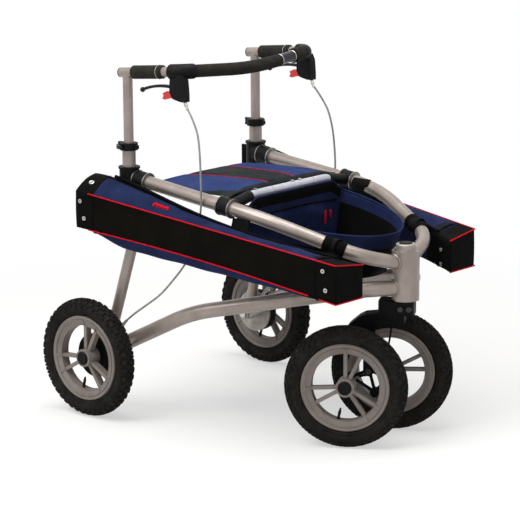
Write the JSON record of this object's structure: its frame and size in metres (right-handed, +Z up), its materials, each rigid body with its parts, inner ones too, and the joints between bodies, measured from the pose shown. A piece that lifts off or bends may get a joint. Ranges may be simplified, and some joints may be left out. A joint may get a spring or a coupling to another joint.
{
  "type": "all-terrain rollator",
  "caption": "Wheeled walking frame with large spoked tyres, swivelling front bogie, padded seat, front basket, long side bags and height-adjustable push handle with drum brakes.",
  "frame": {"origin": "on the ground under the middle of the overall box", "axes": "+X forward, +Y to the user's left, +Z up"},
  "size_m": [0.9685, 0.7402, 0.9116],
  "materials": {
    "frame_paint": "silver paint",
    "black_plastic": "moulded, matt",
    "bright_steel": "plated steel",
    "navy_fabric": "woven nylon",
    "seat_fabric": "padded nylon",
    "mesh_fabric": "mesh and nylon",
    "webbing": "webbing",
    "tyre": "block tread",
    "rim_plastic": "grey moulded",
    "black_metal": "black powder coat",
    "foam": "closed foam",
    "gloss_navy": "glossy sleeve",
    "red_plastic": "glossy red",
    "cable_grey": "cable sheath",
    "lining": "brake lining"
  },
  "bodies": {
    "frame": {"head_tube": "frame_paint", "head_bearings": "bright_steel", "head_cap": "bright_steel", "upper_rail_right": "frame_paint", "upper_rail_left": "frame_paint", "lower_rail_right": "frame_paint", "lower_rail_left": "frame_paint", "strut_right": "frame_paint", "strut_left": "frame_paint", "leg_right": "frame_paint", "leg_left": "frame_paint", "leg_brackets": "black_plastic", "rail_collars": "black_plastic", "collar_rings": "bright_steel", "seat_cross_tube": "frame_paint", "seat_pad": "seat_fabric", "basket": "mesh_fabric", "strap_sleeves": "webbing", "bag_right": "navy_fabric", "bag_left": "navy_fabric", "snaps": "bright_steel", "brake_plates": "bright_steel", "rear_axles": "bright_steel", "brake_shoes": "lining", "post_clamps": "black_plastic", "cable_right": "cable_grey", "cable_left": "cable_grey"},
    "rear_wheel_right": {"rear_tyre_right": "tyre", "rear_rim_right": "rim_plastic", "drum_right": "black_metal", "rear_bearings_right": "bright_steel", "rear_cap_right": "black_plastic"},
    "rear_wheel_left": {"rear_tyre_left": "tyre", "rear_rim_left": "rim_plastic", "drum_left": "black_metal", "rear_bearings_left": "bright_steel", "rear_cap_left": "black_plastic"},
    "fork": {"fork_crown": "black_metal", "fork_bolts": "bright_steel"},
    "rocker": {"rocker_frame": "black_metal", "rocker_axles": "bright_steel"},
    "front_wheel_right": {"front_tyre_right": "tyre", "front_rim_right": "rim_plastic", "front_bearings_right": "bright_steel", "front_cap_right": "black_plastic"},
    "front_wheel_left": {"front_tyre_left": "tyre", "front_rim_left": "rim_plastic", "front_bearings_left": "bright_steel", "front_cap_left": "black_plastic"},
    "handle": {"handle_tubes": "frame_paint", "grips": "foam", "bar_foam": "foam", "bar_sleeve": "gloss_navy", "brake_brackets": "black_plastic"},
    "lever_right": {"brake_lever_right": "black_plastic"},
    "lock_right": {"brake_lock_right": "red_plastic"},
    "clamp_right": {"clamp_lever_right": "black_plastic"},
    "lever_left": {"brake_lever_left": "black_plastic"},
    "lock_left": {"brake_lock_left": "red_plastic"},
    "clamp_left": {"clamp_lever_left": "black_plastic"}
  },
  "joints": [
    {"name": "handle_height", "type": "slide", "parent": "frame", "child": "handle", "axis": [0, 0, 1], "range_m": [-0.07, 0.07], "deforming": ["cable_right", "cable_left"]},
    {"name": "front_swivel", "type": "hinge", "parent": "frame", "child": "fork", "pos_m": [0.41922, 0, 0.415], "axis": [0, 0, 1], "continuous": true},
    {"name": "front_rocker", "type": "hinge", "parent": "fork", "child": "rocker", "pos_m": [0.34251, -0.04393, 0.1725], "axis": [-0.497, 0.8678, 0], "range_deg": [-12, 12]},
    {"name": "rear_wheel_right_spin", "type": "hinge", "parent": "frame", "child": "rear_wheel_right", "pos_m": [-0.33178, -0.344, 0.1525], "axis": [0, 1, 0], "continuous": true},
    {"name": "rear_wheel_left_spin", "type": "hinge", "parent": "frame", "child": "rear_wheel_left", "pos_m": [-0.33178, 0.344, 0.1525], "axis": [0, 1, 0], "continuous": true},
    {"name": "front_wheel_right_spin", "type": "hinge", "parent": "rocker", "child": "front_wheel_right", "pos_m": [0.34884, -0.14252, 0.1525], "axis": [-0.497, 0.8678, 0], "continuous": true},
    {"name": "front_wheel_left_spin", "type": "hinge", "parent": "rocker", "child": "front_wheel_left", "pos_m": [0.33618, 0.05466, 0.1525], "axis": [-0.497, 0.8678, 0], "continuous": true},
    {"name": "brake_lever_right_pull", "type": "hinge", "parent": "handle", "child": "lever_right", "pos_m": [-0.11178, -0.242, 0.85191], "axis": [0, 1, 0], "range_deg": [0, 9], "stiffness_Nm_per_rad": 2},
    {"name": "brake_lock_right_turn", "type": "hinge", "parent": "handle", "child": "lock_right", "pos_m": [-0.10978, -0.242, 0.83191], "axis": [0, -1, 0], "range_deg": [0, 18]},
    {"name": "clamp_lever_right_open", "type": "hinge", "parent": "frame", "child": "clamp_right", "pos_m": [-0.30378, -0.242, 0.689], "axis": [0, 0, -1], "range_deg": [0, 110]},
    {"name": "brake_lever_left_pull", "type": "hinge", "parent": "handle", "child": "lever_left", "pos_m": [-0.11178, 0.242, 0.85191], "axis": [0, 1, 0], "range_deg": [0, 9], "stiffness_Nm_per_rad": 2},
    {"name": "brake_lock_left_turn", "type": "hinge", "parent": "handle", "child": "lock_left", "pos_m": [-0.10978, 0.242, 0.83191], "axis": [0, -1, 0], "range_deg": [0, 18]},
    {"name": "clamp_lever_left_open", "type": "hinge", "parent": "frame", "child": "clamp_left", "pos_m": [-0.30378, 0.242, 0.689], "axis": [0, 0, 1], "range_deg": [0, 110]}
  ]
}
